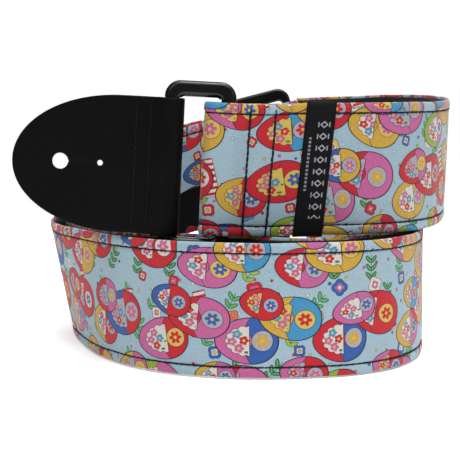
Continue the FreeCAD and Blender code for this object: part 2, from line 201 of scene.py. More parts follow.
def ramp_levels(spots):
    """Lower edge and height of the strap on the ramp."""
    away = RAMP_FROM - spots
    distance = away[:, 0] * math.cos(RAMP_TURN) + away[:, 1] * math.sin(RAMP_TURN)
    slider_distance = (RAMP_FROM[0] - SLIDER_AT[0]) * math.cos(RAMP_TURN)

    def line(d):
        return SLIDER_AT[2] - TALL / 2 - (d - slider_distance) * RAMP_SLOPE

    start = [(-60, line(-60)), (0, line(0)), (14, 37.1)]
    low = start + [(88, 2.6), (98, 0.6), (110, 0), (FAR, 0)]
    high = [(d, z + TALL) for d, z in start] + [(90, 53), (100, 50.8), (112, WIDTH), (FAR, WIDTH)]
    lower = np.where(distance < STRAIGHT_UNTIL, line(distance), eased(distance, low))
    upper = np.where(distance < STRAIGHT_UNTIL, line(distance) + TALL, eased(distance, high))
    return lower, upper - lower


def rear_levels(spots):
    """How far the strap is raised on its way to ring 2, which stands on its own bar."""
    away = spots - REAR_RISE_FROM
    distance = away[:, 0] * math.cos(REAR_RISE_HEADING) + away[:, 1] * math.sin(REAR_RISE_HEADING)
    rise = RING_2_BAR[2] - WIDTH / 2
    return eased(distance, [(-FAR, 0), (0, 0), (REAR_RISE_LENGTH, rise), (FAR, rise)])


class Band:
    """A run of stations, each with an origin on the strap's centre line and a frame."""

    def __init__(self, s, origin, up, right):
        self.s, self.origin, self.up, self.right = s, origin, up, right

    def points(self, across, out):
        """World points at heights across the strap (0 to WIDTH) and offsets to the printed side."""
        height = (across - WIDTH / 2)[..., None]
        return self.origin[:, None] + self.up[:, None] * height + self.right[:, None] * out[..., None]


def level_frame(spots, along):
    count = len(spots)
    up = np.tile([0.0, 0, 1], (count, 1))
    right = np.stack([along[:, 1], -along[:, 0], np.zeros(count)], 1)
    return up, right


def tilt_matrix(angle):
    c, s = math.cos(angle), math.sin(angle)
    return np.array([[c, 0, -s], [0, 1, 0], [s, 0, c]])


def tilted_band(route, start):
    """A stretch in the slider's tilted frame."""
    s, spots, along = walk(route, 0.8)
    turn = tilt_matrix(SLIDER_SLOPE)
    flat = np.c_[spots, np.zeros(len(spots))]
    origin = SLIDER_AT + flat @ turn.T
    up = np.tile(turn @ [0, 0, 1.0], (len(s), 1))
    side = np.c_[along[:, 1], -along[:, 0], np.zeros(len(spots))]
    return Band(s + start, origin, up, side @ turn.T)


def lean_out(band, side):
    """Leans the left end outwards at the top, about a height, with the lower edge kept on the floor."""
    y = band.origin[:, 1]
    share = np.exp(-(((y - LEAN_CENTRE) / LEAN_SPREAD) ** 2)) * smooth_step(-band.origin[:, 0], 5, 40)
    lean = LEAN * share
    outward = band.right * side
    foot = band.origin - band.up * WIDTH / 2 - outward * (LEAN_PIVOT * math.tan(LEAN) * share)[:, None]
    up = band.up + outward * np.tan(lean)[:, None]
    up /= np.linalg.norm(up, axis=1)[:, None]
    size = np.linalg.norm(band.up, axis=1)[:, None]
    band.up = up * size
    band.origin = foot + band.up * WIDTH / 2
    band.right = band.right - band.up * (np.sum(band.right * band.up, 1) / size[:, 0] ** 2)[:, None]
    band.right /= np.linalg.norm(band.right, axis=1)[:, None]


def toward_slider(band, from_end, length):
    """Turns the band's upright lines over to the slider's tilt near one end."""
    turned = tilt_matrix(SLIDER_SLOPE) @ [0, 0, 1.0]
    w = smooth_step(length - from_end, 0, length)[:, None]
    size = np.linalg.norm(band.up, axis=1)[:, None]
    up = band.up * (1 - w) + turned * w
    goal = size * (1 - w) + w
    band.up = up / np.linalg.norm(up, axis=1)[:, None] * goal


def sink_beside_slider(band):
    """Lets the strap lie a little lower where the slider's side bar passes over it."""
    along = tilt_matrix(SLIDER_SLOPE) @ [1.0, 0, 0]
    x = (band.origin - SLIDER_AT) @ along
    at_rear = band.origin[:, 1] > 150
    share = smooth_step(x, 11, 16) * (1 - smooth_step(x, 27, 40)) * at_rear
    band.origin -= band.right * (SINK_DEPTH * share)[:, None]


def wobble(s, size, seed):
    """A slow, small unevenness along the strap."""
    local = np.random.default_rng(seed)
    total = np.zeros_like(s)
    for period in (97.0, 61.0, 37.0, 23.0):
        total += np.sin(s / period * 2 * math.pi + local.uniform(0, 6.28)) * local.uniform(0.4, 1)
    return total * size / 2


def right_end(band, spread, beyond):
    """Share of a change at the coil's right end."""
    near = np.exp(-(((band.origin[:, 1] - RIGHT_END_LINE) / spread) ** 2))
    return near * (band.origin[:, 0] > beyond)


def lower_band(route, start, ramp, rise):
    """A stretch that comes down the ramp and rises to ring 2; both are given as tests of s."""
    s, spots, along = walk(route)
    up, right = level_frame(spots, along)
    lower, height = ramp_levels(spots)
    on_ramp = (spots[:, 0] < RAMP_SIDE) & ramp(s)
    lower = np.where(on_ramp, lower, 0)
    height = np.where(on_ramp, height, WIDTH)
    lower = lower + np.where(rise(s), rear_levels(spots), 0)
    up = up * (height / WIDTH)[:, None]
    return s, Band(s + start, np.c_[spots, lower + height / 2], up, right)


def make_bands():
    s, spots, along = walk(upper_route)
    up, right = level_frame(spots, along)
    z = np.full(len(s), UPPER_LEVEL + WIDTH / 2)
    near = s[-1] - s
    upper = Band(s, np.c_[spots, z], up, right)
    upper.origin[:, 2] -= 0.1 * smooth_step(14 - near, 0, 14)
    bend = right_end(upper, 48, 50)
    upper.up = upper.up + upper.right * (math.tan(UPPER_RIGHT_LEAN) * bend)[:, None]
    upper.origin[:, 0] += UPPER_RIGHT_SHIFT * bend
    upper.origin[:, 2] += UPPER_REAR_RISE * smooth_step(spots[:, 1], 60, 130) * smooth_step(near, 14, 50)
    toward_slider(upper, near, TILT_REACH)

    weave = tilted_band(woven_route, s[-1])
    sink_beside_slider(upper)
    sink_beside_slider(weave)

    s, outer = lower_band(
        outer_route, weave.s[-1], lambda s: s < RAMP_LENGTH, lambda s: s > RAMP_LENGTH
    )
    toward_slider(outer, s, TILT_REACH)
    lean_out(outer, 1)
    outer.origin[:, 0] -= OUTER_RIGHT_SHIFT * right_end(outer, 50, 40)

    s, back = lower_band(
        return_route, outer.s[-1], lambda s: s > s[-1] - RAMP_LENGTH, lambda s: s < RETURN_RISE_LENGTH
    )
    toward_slider(back, s[-1] - s, TILT_REACH)
    lean_out(back, -1)
    end = tilted_band(end_route, back.s[-1])
    return upper, weave, outer, back, end


def split(band, index):
    """Two bands that share the station at index."""
    parts = (band.s, band.origin, band.up, band.right)
    return Band(*(p[: index + 1] for p in parts)), Band(*(p[index:] for p in parts))


def new_object(name, vertices, faces, uv=None, material=None, smooth=True):
    mesh = bpy.data.meshes.new(name)
    mesh.from_pydata((np.asarray(vertices) * MM - MIDDLE * MM).tolist(), [], faces)
    if uv is not None:
        layer = mesh.uv_layers.new(name="UVMap")
        loops = np.empty(len(mesh.loops), np.int32)
        mesh.loops.foreach_get("vertex_index", loops)
        layer.data.foreach_set("uv", np.asarray(uv, np.float32)[loops].ravel())
    mesh.polygons.foreach_set("use_smooth", [smooth] * len(mesh.polygons))
    obj = bpy.data.objects.new(name, mesh)
    bpy.context.scene.collection.objects.link(obj)
    if material:
        mesh.materials.append(material)
    return obj


def loft(name, band, across, out, uv_across, material):
    """A closed band: across and out are (stations, ring) arrays round the section."""
    rings = band.points(across, out)
    count, size = rings.shape[:2]
    vertices = rings.reshape(-1, 3)
    faces = []
    for i in range(count - 1):
        a, b = i * size, (i + 1) * size
        for j in range(size):
            k = (j + 1) % size
            faces.append((a + j, b + j, b + k, a + k))
    faces.append(tuple(range(size)))
    faces.append(tuple(range((count - 1) * size, count * size))[::-1])
    uv = np.stack([np.repeat(band.s, size), uv_across.reshape(-1)], 1)
    return new_object(name, vertices, faces, uv, material)


EDGE_STATIONS = np.array([0.35, 0.8, 1.4, 2.0, 2.6, 3.1, 3.5, 3.8, 4.0, 4.2, 4.5, 5.0, 5.8])
EDGE_WIDE, EDGE_DEEP = 1.5, 0.62
PILLOW, SEAM_DIP, SEAM_DIP_WIDE, SWELL = 0.28, 0.42, 0.42, 0.12


def cover_ring():
    """Section of the cover: (across, out, how much it follows the face relief)."""
    face = np.concatenate([EDGE_STATIONS, np.linspace(7.5, 42.5, 15), WIDTH - EDGE_STATIONS[::-1]])
    edge = np.minimum(face, WIDTH - face)
    rounding = EDGE_DEEP * np.sqrt(np.clip(1 - (1 - edge / EDGE_WIDE) ** 2, 0, 1))
    rounding = np.where(edge < EDGE_WIDE, rounding, EDGE_DEEP)
    pillow = PILLOW * np.sin(np.clip(edge / SEAM_INSET, 0, 1) * math.pi) ** 0.8
    dip = -SEAM_DIP * np.exp(-((edge - SEAM_INSET) / SEAM_DIP_WIDE) ** 2)
    swell = SWELL * smooth_step(edge, SEAM_INSET, 12)
    out = FACE - EDGE_DEEP + rounding + pillow + dip + swell - SWELL
    back = np.array([49.93, 49.6, 48.9, 42.0, 41.7, 8.3, 8.0, 1.1, 0.4, 0.07])
    behind = np.array([0.25, 0.02, BACK, BACK, 0.15, 0.15, BACK, BACK, 0.02, 0.25])
    return np.r_[face, back], np.r_[out, behind], np.r_[np.ones(len(face)), np.zeros(len(back))]


def pucker(s, across, seed):
    """Small gathers that the sewing draws into the cloth beside each seam."""
    total = np.zeros((len(s), len(across)))
    edge = np.minimum(across, WIDTH - across)
    near = np.exp(-((edge - SEAM_INSET) / 3.4) ** 2)
    for k, (period, size) in enumerate(((2.7, 0.035), (5.9, 0.05), (11.0, 0.06))):
        phase = seed * 1.7 + k + (across > WIDTH / 2) * 2.1
        total += np.sin(s[:, None] / period * 2 * math.pi + phase[None]) * size
    slow = np.sin(s[:, None] / 83.0 * 2 * math.pi + across[None] / 17.0 + seed)
    slow += np.sin(s[:, None] / 47.0 * 2 * math.pi - across[None] / 23.0 + 2.0 * seed)
    return total * near[None] + 0.07 * slow


def cover(name, band, material, seed):
    across, out, follow = cover_ring()
    relief = pucker(band.s, across, seed) * follow[None]
    top, low = wobble(band.s, 0.16, 11), wobble(band.s, 0.10, 12)
    edge_shift = np.where(across[None] > WIDTH / 2, top[:, None], low[:, None])
    edge_shift = edge_shift * (np.abs(across - WIDTH / 2) > 20)[None]
    wide = np.clip(across[None] + edge_shift, 0.0, WIDTH)
    uv_across = np.tile(across, (len(band.s), 1))
    return loft(name, band, wide, out[None] + relief, uv_across, material)


def webbing(name, band, material):
    low, top, columns = WEBBING_INSET, WIDTH - WEBBING_INSET, 25
    across = np.r_[np.linspace(low + 0.2, top - 0.2, columns), top, top, low, low]
    out = np.r_[np.full(columns, WEBBING_BACK), WEBBING_BACK + 0.25, BACK, BACK, WEBBING_BACK + 0.25]
    order = np.arange(len(across))[::-1]
    across, out = across[order], out[order]
    edge = np.minimum(across, WIDTH - across)
    dip = 0.3 * np.exp(-((edge - SEAM_INSET) / 0.5) ** 2) * (out < WEBBING_BACK + 0.1)
    grid = np.tile(across, (len(band.s), 1))
    return loft(name, band, grid, np.tile(out + dip, (len(band.s), 1)), grid, material)


CAPSULE_SIDES = 6
CAPSULE_RINGS = ((-0.5, 0.35), (-0.43, 0.8), (-0.2, 1.0), (0.2, 1.0), (0.43, 0.8), (0.5, 0.35))


def thread_meshes(name, spots, material, radius):
    """Stitches as short plump capsules; each is (start, end, lift direction)."""
    vertices, faces = [], []
    for a, b, lift in spots:
        along = b - a
        length = np.linalg.norm(along)
        along = along / length
        side = np.cross(along, lift)
        side /= np.linalg.norm(side)
        first = len(vertices)
        for at, wide in CAPSULE_RINGS:
            arch = (1 - (2 * at) ** 2) * radius * 0.6
            centre = (a + b) / 2 + along * length * at + lift * (arch - radius * 0.3)
            for k in range(CAPSULE_SIDES):
                turn = 2 * math.pi * k / CAPSULE_SIDES
                vertices.append(centre + (side * math.cos(turn) + lift * math.sin(turn)) * radius * wide)
        for r in range(len(CAPSULE_RINGS) - 1):
            for k in range(CAPSULE_SIDES):
                m = (k + 1) % CAPSULE_SIDES
                p, q = first + r * CAPSULE_SIDES, first + (r + 1) * CAPSULE_SIDES
                faces.append((p + k, p + m, q + m, q + k))
        faces.append(tuple(first + k for k in range(CAPSULE_SIDES))[::-1])
        last = first + (len(CAPSULE_RINGS) - 1) * CAPSULE_SIDES
        faces.append(tuple(last + k for k in range(CAPSULE_SIDES)))
    return new_object(name, vertices, faces, None, material)


def spot_on(band, s, across, out):
    """The point at an arc length, a height and an offset, and the printed side's direction."""
    o, u, r = (
        np.array([np.interp(s, band.s, rows[:, k]) for k in range(3)])
        for rows in (band.origin, band.up, band.right)
    )
    return o + u * (across - WIDTH / 2) + r * out, r


def seam_spots(band, across, out, pitch, seed, side=1.0):
    """Stitches that run along a band at one height."""
    local = np.random.default_rng(seed)
    overlap = 0.04
    spots = []
    for s in np.arange(band.s[0] + 0.2, band.s[-1] - pitch, pitch):
        skew = 0.07 + local.normal(0, 0.05)
        a, r = spot_on(band, s - overlap, across - skew, out)
        b, _ = spot_on(band, s + pitch + overlap, across + skew, out)
        spots.append((a, b, r * side))
    return spots


# ---------------------------------------------------------------- materials

FULL_TURN = 2 * math.pi
OUT_OF_SIGHT = 50.0


class Field:
    """A number in a shader, with arithmetic that adds Math nodes."""

    def __init__(self, tree, socket):
        self.tree, self.socket = tree, socket

    def op(self, kind, *others):
        node = self.tree.nodes.new("ShaderNodeMath")
        node.operation = kind
        for i, value in enumerate((self, *others)):
            if isinstance(value, Field):
                self.tree.links.new(value.socket, node.inputs[i])
            else:
                node.inputs[i].default_value = value
        return Field(self.tree, node.outputs[0])

    def __add__(self, other):
        return self.op("ADD", other)

    def __radd__(self, other):
        return self.op("ADD", other)

    def __sub__(self, other):
        return self.op("SUBTRACT", other)

    def __rsub__(self, other):
        return (self * -1.0) + other

    def __mul__(self, other):
        return self.op("MULTIPLY", other)

    def __rmul__(self, other):
        return self.op("MULTIPLY", other)

    def __truediv__(self, other):
        return self.op("DIVIDE", other)

    def sin(self):
        return self.op("SINE")

    def cos(self):
        return self.op("COSINE")

    def abs(self):
        return self.op("ABSOLUTE")

    def sqrt(self):
        return self.op("SQRT")

    def floor(self):
        return self.op("FLOOR")

    def fract(self):
        return self.op("FRACT")

    def wrap(self, low, high):
        return self.op("WRAP", high, low)

    def low(self, other):
        return self.op("MINIMUM", other)

    def high(self, other):
        return self.op("MAXIMUM", other)

    def inside(self, soft=0.07):
        """1 where a distance is negative, with a soft rim."""
        return (0.5 - self / soft).clamp()

    def clamp(self):
        return self.high(0.0).low(1.0)


def hypot(x, y):
    return (x * x + y * y).sqrt()


def angle(y, x):
    return y.op("ARCTAN2", x)


def mix(tree, factor, a, b):
    node = tree.nodes.new("ShaderNodeMix")
    node.data_type = "RGBA"
    for i, value in ((0, factor), (6, a), (7, b)):
        if isinstance(value, Field):
            tree.links.new(value.socket, node.inputs[i])
        elif hasattr(value, "is_output"):
            tree.links.new(value, node.inputs[i])
        elif isinstance(value, tuple):
            node.inputs[i].default_value = (*value, 1)
        else:
            node.inputs[i].default_value = value
    return node.outputs[2]


def choice(tree, pick, colours):
    """One of some colours, by a number from 0 to 1."""
    node = tree.nodes.new("ShaderNodeValToRGB")
    ramp = node.color_ramp
    ramp.interpolation = "CONSTANT"
    while len(ramp.elements) < len(colours):
        ramp.elements.new(0.5)
    for i, colour in enumerate(colours):
        ramp.elements[i].position = i / len(colours)
        ramp.elements[i].color = (*colour, 1)
    tree.links.new(pick.socket, node.inputs[0])
    return node.outputs[0]


def srgb(r, g, b):
    def channel(v):
        v /= 255
        return v / 12.92 if v <= 0.04045 else ((v + 0.055) / 1.055) ** 2.4

    return tuple(channel(v) for v in (r, g, b))


def new_material(name, roughness, specular=0.5):
    material = bpy.data.materials.new(name)
    material.use_nodes = True
    tree = material.node_tree
    shader = tree.nodes["Principled BSDF"]
    shader.inputs["Roughness"].default_value = roughness
    shader.inputs["Specular IOR Level"].default_value = specular
    return material, tree, shader


def uv_fields(tree):
    uv = tree.nodes.new("ShaderNodeUVMap")
    uv.uv_map = "UVMap"
    parts = tree.nodes.new("ShaderNodeSeparateXYZ")
    tree.links.new(uv.outputs[0], parts.inputs[0])
    return Field(tree, parts.outputs[0]), Field(tree, parts.outputs[1])


def add_bump(tree, shader, height, distance, strength=1.0):
    bump = tree.nodes.new("ShaderNodeBump")
    bump.inputs["Distance"].default_value = distance * MM
    bump.inputs["Strength"].default_value = strength
    source = height.socket if isinstance(height, Field) else height
    tree.links.new(source, bump.inputs["Height"])
    tree.links.new(bump.outputs[0], shader.inputs["Normal"])


def noise(tree, scale, detail=2.0, roughness=0.5):
    """Noise fixed to the row frame; scale is features per millimetre."""
    place = tree.nodes.new("ShaderNodeTexCoord")
    node = tree.nodes.new("ShaderNodeTexNoise")
    node.inputs["Scale"].default_value = scale / MM
    node.inputs["Detail"].default_value = detail
    node.inputs["Roughness"].default_value = roughness
    tree.links.new(place.outputs["Object"], node.inputs["Vector"])
    return Field(tree, node.outputs[0])


INK = srgb(38, 34, 48)
RED = srgb(196, 32, 44)
MUSTARD = srgb(205, 163, 62)
YELLOW = srgb(214, 184, 88)
PINK = srgb(196, 98, 152)
BLUE = srgb(66, 146, 190)
ROYAL = srgb(52, 92, 165)
GREEN = srgb(36, 128, 70)
LIME = srgb(146, 172, 48)
CREAM = srgb(214, 209, 198)
GREY = srgb(168, 168, 178)
ORANGE = srgb(222, 112, 44)
LEAF_EDGE = srgb(24, 70, 40)
PALE_GREEN = srgb(70, 150, 92)
VEIN = srgb(190, 205, 120)
BUD_EDGE = srgb(150, 60, 90)
SKY_DARK, SKY_LIGHT = srgb(152, 180, 194), srgb(168, 193, 205)


def cell(tree, u, v, grid, shift, seed, jitter):
    """Local coordinates in a staggered grid of cells, with random numbers for each cell."""
    (wide, tall), (shift_u, shift_v) = grid, shift
    row = ((v - shift_v) / tall).floor()
    col_place = (u - shift_u) / wide + row * 0.5
    col = col_place.floor()
    combine = tree.nodes.new("ShaderNodeCombineXYZ")
    tree.links.new(col.socket, combine.inputs[0])
    tree.links.new(row.socket, combine.inputs[1])
    combine.inputs[2].default_value = seed
    white = tree.nodes.new("ShaderNodeTexWhiteNoise")
    white.noise_dimensions = "3D"
    tree.links.new(combine.outputs[0], white.inputs["Vector"])
    split_colour = tree.nodes.new("ShaderNodeSeparateColor")
    tree.links.new(white.outputs["Color"], split_colour.inputs[0])
    a, b, c = (Field(tree, split_colour.outputs[i]) for i in range(3))
    d = Field(tree, white.outputs["Value"])
    x = (col_place.fract() - 0.5) * wide + (a - 0.5) * jitter
    y = (((v - shift_v) / tall).fract() - 0.5) * tall + (b - 0.5) * jitter
    return x, y, a, b, c, d


def hidden(pick, keep):
    """A distance that puts an ornament out of sight in the cells that don't keep it."""
    return (pick - keep).op("GREATER_THAN", 0.0) * OUT_OF_SIGHT


def turned(x, y, about):
    c, s = about.cos(), about.sin()
    return x * c + y * s, y * c - x * s


def petals(x, y, radius, count, depth=0.24):
    """Distance to a flower with rounded petals."""
    r = hypot(x, y)
    lobes = (angle(y, x) * (count / 2)).cos().abs()
    return r - (lobes * depth + (1 - depth)) * radius


def paint(tree, base, shape, colour, outline):
    """A filled shape with an ink outline."""
    base = mix(tree, (shape - outline).inside(), base, INK)
    return mix(tree, shape.inside(), base, colour)


# Cell sizes of the print: small ornaments and medallions.
SMALL_GRID = (15.5, 12.5)
LARGE_GRID = (35.0, 26.0)


def layer_leaves(tree, base, u, v):
    """Sprigs: a stem with a pair of leaves at each step, and a pale vein in each leaf."""
    x, y, a, _, c, d = cell(tree, u, v, SMALL_GRID, (3.0, -3.0), 3.0, 2.0)
    x, y = turned(x, y, (a - 0.5) * 1.6 + 1.57)
    x = x + hidden(d, 0.5)
    stem = (y.abs() - 0.16).high(x.abs() - 4.6)
    base = mix(tree, stem.inside(), base, GREEN)
    side = y.abs()
    pitch = 3.0
    along = (x + 4.5).wrap(0.0, pitch) - pitch * 0.45
    lx, ly = along * 0.72 + (side - 1.15) * 0.69, (side - 1.15) * 0.72 - along * 0.69
    leaf = (hypot(lx / 1.55, ly / 0.72) - 1.0) * 0.72
    leaf = leaf.high(x.abs() - 4.4)
    base = mix(tree, (leaf - 0.14).inside(), base, LEAF_EDGE)
    green = choice(tree, c, (GREEN, LIME, GREEN, PALE_GREEN))
    base = mix(tree, leaf.inside(), base, green)
    vein = (ly.abs() - 0.07).high(leaf + 0.15)
    return mix(tree, vein.inside(0.1), base, VEIN)


def layer_blossoms(tree, base, u, v):
    """Four-petal flowers with a second ring of petals and an eye."""
    x, y, a, b, c, d = cell(tree, u, v, SMALL_GRID, (-3.5, 3.0), 5.0, 3.2)
    gone = hidden(d, 0.5)
    x, y = turned(x, y, a * 6.28)
    size, radius, count = b * 0.5 + 0.75, 2.6, 4
    body = petals(x, y, size * radius, count) + gone
    fill = choice(tree, c, (RED, BLUE, YELLOW, PINK, RED, ORANGE, CREAM, ROYAL))
    base = paint(tree, base, body, fill, 0.2)
    inner = petals(x, y, size * radius * 0.56, count, 0.3) + gone
    trim = choice(tree, a, (CREAM, PINK, CREAM, YELLOW, RED))
    base = mix(tree, inner.inside(), base, trim)
    eye = hypot(x, y) - size * radius * 0.24 + gone
    return paint(tree, base, eye, choice(tree, b, (MUSTARD, YELLOW, ORANGE, CREAM)), 0.16)


def layer_medallions(tree, base, u, v, shift, seed, size, keep):
    """Two-tone oval ornaments with a scalloped field and flowers inside."""
    x, y, a, b, c, d = cell(tree, u, v, LARGE_GRID, shift, seed, 3.4)
    gone = hidden(d, keep)
    x, y = turned(x, y, (b - 0.5) * 0.5)
    half_wide, half_tall = (c * 0.22 + 1.05) * size, (a * 0.16 + 0.76) * size
    narrow = 1 + x * (0.12 / size)
    ex, ey = x / half_wide, y / (half_tall * narrow)
    reach = hypot(ex, ey)
    body = (reach - 1.0) * size * 0.86 + gone
    around = angle(ey, ex)
    rim = choice(tree, c, (MUSTARD, RED, LIME, RED, ROYAL, MUSTARD, RED, PINK, RED))
    cap = choice(tree, a, (PINK, RED, BLUE, RED, MUSTARD, RED, PINK, ROYAL))
    base = paint(tree, base, body, rim, 0.34)
    slant = 0.10 + (b - 0.5) * 0.4
    capped = (slant - ex + (ey * 5.0).cos() * 0.10) * size * 0.9
    capped = capped.high(body)
    base = paint(tree, base, capped, cap, 0.2)
    scallop = (around * 7).cos().abs() * 0.085
    field = (reach - (0.60 + scallop)) * size * 0.86 + gone
    field = field.high((ex - slant + 0.02) * size * 0.9)
    base = paint(tree, base, field, choice(tree, a, (CREAM, YELLOW, CREAM, CREAM, GREY, CREAM)), 0.2)
    buds = field + 0.5
    for k, (bx, by) in enumerate(((-0.30, 0.32), (-0.46, -0.03), (-0.24, -0.34), (-0.08, 0.02))):
        px, py = (ex - bx) * size, (ey - by) * size * 0.8
        bud = petals(px, py, 0.155 * size, 5, 0.34).high(buds - 0.4)
        base = mix(tree, (bud - 0.10).inside(), base, BUD_EDGE)
        bud_colour = choice(tree, (b + 0.27 * k).fract(), (PINK, RED, BLUE, PINK))
        base = mix(tree, bud.inside(), base, bud_colour)
        base = mix(tree, (hypot(px, py) - 0.05 * size).high(buds - 0.4).inside(), base, YELLOW)
        leaf_x, leaf_y = px - 0.25 * size, py + 0.13 * size
        leaf = (hypot(leaf_x / 1.6, leaf_y / 0.8) - 0.055 * size).high(buds - 0.2)
        base = mix(tree, leaf.inside(), base, GREEN)
    fx, fy = (ex - 0.50 - (b - 0.5) * 0.15) * size, ey * size * 0.8
    from_flower = hypot(fx, fy)
    disc = (from_flower - 0.33 * size).high(body + 0.25)
    base = paint(tree, base, disc, choice(tree, c, (GREY, CREAM, GREY, YELLOW, GREY)), 0.16)
    star = petals(fx, fy, 0.24 * size, 6, 0.5).high(disc)
    base = mix(tree, star.inside(), base, choice(tree, a, (ROYAL, RED, PINK, MUSTARD)))
    return mix(tree, (from_flower - 0.06 * size).high(disc).inside(), base, YELLOW)


def layer_stripes(tree, base, u, v):
    """Short bars with red and cream stripes."""
    x, y, a, _, _, d = cell(tree, u, v, (37.0, 31.0), (17.0, 9.0), 31.0, 8.0)
    gone = hidden(d, 0.6)
    x, y = turned(x, y, 0.12 + a * 0.3)
    bar = ((x.abs() - 2.3).high(y.abs() - 7.0)) + gone
    base = paint(tree, base, bar, CREAM, 0.18)
    stripe = ((y / 2.2).fract() - 0.5).high(bar)
    return mix(tree, stripe.inside(0.05), base, RED)


def layer_berries(tree, base, u, v):
    """Small dots scattered over the ground."""
    x, y, a, _, c, d = cell(tree, u, v, (5.6, 5.4), (1.0, 0.7), 23.0, 2.4)
    gone = hidden(d, 0.55)
    berry = hypot(x, y) - (a * 0.35 + 0.4) + gone
    return paint(tree, base, berry, choice(tree, c, (RED, YELLOW, CREAM, PINK, ROYAL, CREAM)), 0.12)


def cotton_print():
    material, tree, shader = new_material("printed_cotton", 0.82, 0.25)
    u, v = uv_fields(tree)
    drift = noise(tree, 0.02, 3.0)
    tint = mix(tree, drift, SKY_DARK, SKY_LIGHT)
    base = layer_berries(tree, tint, u, v)
    base = layer_leaves(tree, base, u, v)
    base = layer_blossoms(tree, base, u, v)
    base = layer_stripes(tree, base, u, v)
    base = layer_medallions(tree, base, u, v, shift=(-5.0, 1.0), seed=11.0, size=9.2, keep=0.92)
    base = layer_medallions(tree, base, u, v, shift=(9.0, 8.5), seed=17.0, size=9.6, keep=0.92)
    base = layer_medallions(tree, base, u, v, shift=(-2.0, 13.5), seed=19.0, size=7.2, keep=0.85)
    fine = noise(tree, 1.6, 2.0, 0.7)
    pitch = FULL_TURN / 0.42
    threads = ((u * pitch).sin() * (v * pitch).sin()) * 0.5 + 0.5
    shade = threads * 0.20 + fine * 0.5 + 0.41
    weave = tree.nodes.new("ShaderNodeMix")
    weave.data_type = "RGBA"
    weave.blend_type = "MULTIPLY"
    weave.inputs[0].default_value = 1.0
    tree.links.new(base, weave.inputs[6])
    grey = tree.nodes.new("ShaderNodeCombineColor")
    for i in range(3):
        tree.links.new(shade.socket, grey.inputs[i])
    tree.links.new(grey.outputs[0], weave.inputs[7])
    tree.links.new(weave.outputs[2], shader.inputs["Base Color"])
    shader.inputs["Sheen Weight"].default_value = 0.15
    shader.inputs["Sheen Roughness"].default_value = 0.5
    add_bump(tree, shader, threads * 0.5 + fine, 0.05)
    return material


def woven_black():
    """Black webbing: slanting ribs that turn back at each herringbone column."""
    material, tree, shader = new_material("webbing", 0.72, 0.2)
    u, v = uv_fields(tree)
    column = 6.2
    fold = ((v / column).fract() - 0.5).abs() * column
    rib = ((u + fold) * (FULL_TURN / 1.15)).sin() * 0.5 + 0.5
    yarn = ((v + u * 0.25) * (FULL_TURN / 0.36)).sin() * 0.5 + 0.5
    fluff = noise(tree, 2.2, 3.0, 0.7)
    shade = rib * 0.5 + yarn * 0.2 + fluff * 0.3
    colour = mix(tree, shade.clamp(), (0.003, 0.003, 0.004), (0.022, 0.022, 0.026))
    tree.links.new(colour, shader.inputs["Base Color"])
    rough = fluff * 0.25 + 0.6
    tree.links.new(rough.socket, shader.inputs["Roughness"])
    add_bump(tree, shader, shade, 0.22)
    return material


def thread_material(name, dark, light):
    material, tree, shader = new_material(name, 0.6, 0.15)
    twist = noise(tree, 2.6, 2.0)
    tree.links.new(mix(tree, twist, dark, light), shader.inputs["Base Color"])
    add_bump(tree, shader, twist, 0.06)
    return material


def leather_material():
    material, tree, shader = new_material("leather", 0.42, 0.06)
    place = tree.nodes.new("ShaderNodeTexCoord")
    cells = tree.nodes.new("ShaderNodeTexVoronoi")
    cells.feature = "DISTANCE_TO_EDGE"
    cells.inputs["Scale"].default_value = 1.5 / MM
    tree.links.new(place.outputs["Object"], cells.inputs["Vector"])
    pebble = Field(tree, cells.outputs["Distance"]).op("MULTIPLY", 2.2).low(1.0)
    grain = noise(tree, 1.4, 4.0, 0.6)
    cloud = noise(tree, 0.045, 4.0, 0.6)
    scuff = noise(tree, 0.3, 5.0, 0.75)
    worn = ((scuff - 0.56) * 5.0).clamp() * 0.35
    base = mix(tree, cloud, (0.0016, 0.0016, 0.0017), (0.0042, 0.0041, 0.0042))
    base = mix(tree, worn, base, (0.009, 0.0088, 0.0088))
    tree.links.new(base, shader.inputs["Base Color"])
    rough = cloud * 0.14 + scuff * 0.16 + 0.28
    tree.links.new(rough.socket, shader.inputs["Roughness"])
    add_bump(tree, shader, pebble * 0.45 + grain * 0.5 + scuff * 0.35, 0.10)
    return material


def plastic_material():
    material, tree, shader = new_material("ring_plastic", 0.22, 0.4)
    speckle = noise(tree, 0.9, 3.0, 0.6)
    wave = noise(tree, 0.11, 2.0)
    base = mix(tree, wave, (0.0012, 0.0012, 0.0014), (0.003, 0.003, 0.0034))
    tree.links.new(base, shader.inputs["Base Color"])
    rough = speckle * 0.14 + wave * 0.10 + 0.10
    tree.links.new(rough.socket, shader.inputs["Roughness"])
    add_bump(tree, shader, wave * 0.8 + speckle * 0.2, 0.12)
    return material


